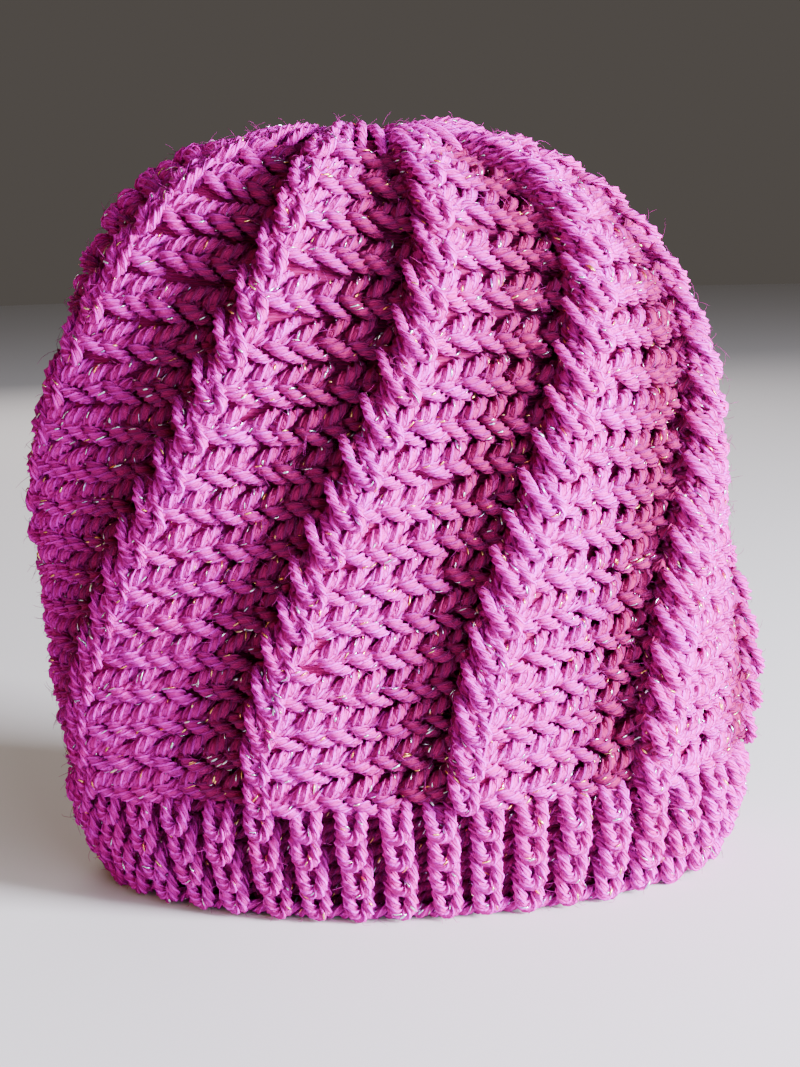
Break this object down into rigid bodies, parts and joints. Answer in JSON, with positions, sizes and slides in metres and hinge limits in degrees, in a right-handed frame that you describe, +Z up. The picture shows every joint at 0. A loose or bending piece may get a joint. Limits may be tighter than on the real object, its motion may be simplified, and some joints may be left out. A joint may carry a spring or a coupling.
{
  "type": "knitted hat",
  "caption": "Chunky loom-knitted winter hat in magenta sparkle yarn, with swirling raised ridges over a ribbed brim and a gathered crown.",
  "frame": {"origin": "centre of the hat's footprint, on the surface that the brim stands on", "axes": "+Z up from the brim to the crown, -Y the front face, +X to the viewer's right when looking at the front"},
  "size_m": [0.2418, 0.1392, 0.2388],
  "materials": {
    "yarn": "matte, soft twisted chunky yarn with a fuzzy halo",
    "tinsel": "shiny metallised strand"
  },
  "bodies": {
    "root": {"brim_edge_cord": "yarn", "brim_band": "yarn", "swirl_panel_1": "yarn", "swirl_panel_2": "yarn", "swirl_panel_3": "yarn", "swirl_panel_4": "yarn", "swirl_panel_5": "yarn", "swirl_panel_6": "yarn", "swirl_panel_7": "yarn", "swirl_panel_8": "yarn", "swirl_panel_9": "yarn", "swirl_ridge_1": "yarn", "swirl_ridge_2": "yarn", "swirl_ridge_3": "yarn", "swirl_ridge_4": "yarn", "swirl_ridge_5": "yarn", "swirl_ridge_6": "yarn", "swirl_ridge_7": "yarn", "swirl_ridge_8": "yarn", "swirl_ridge_9": "yarn", "crown_gather": "yarn", "crown_gathering_yarn": "yarn"}
  },
  "joints": []
}
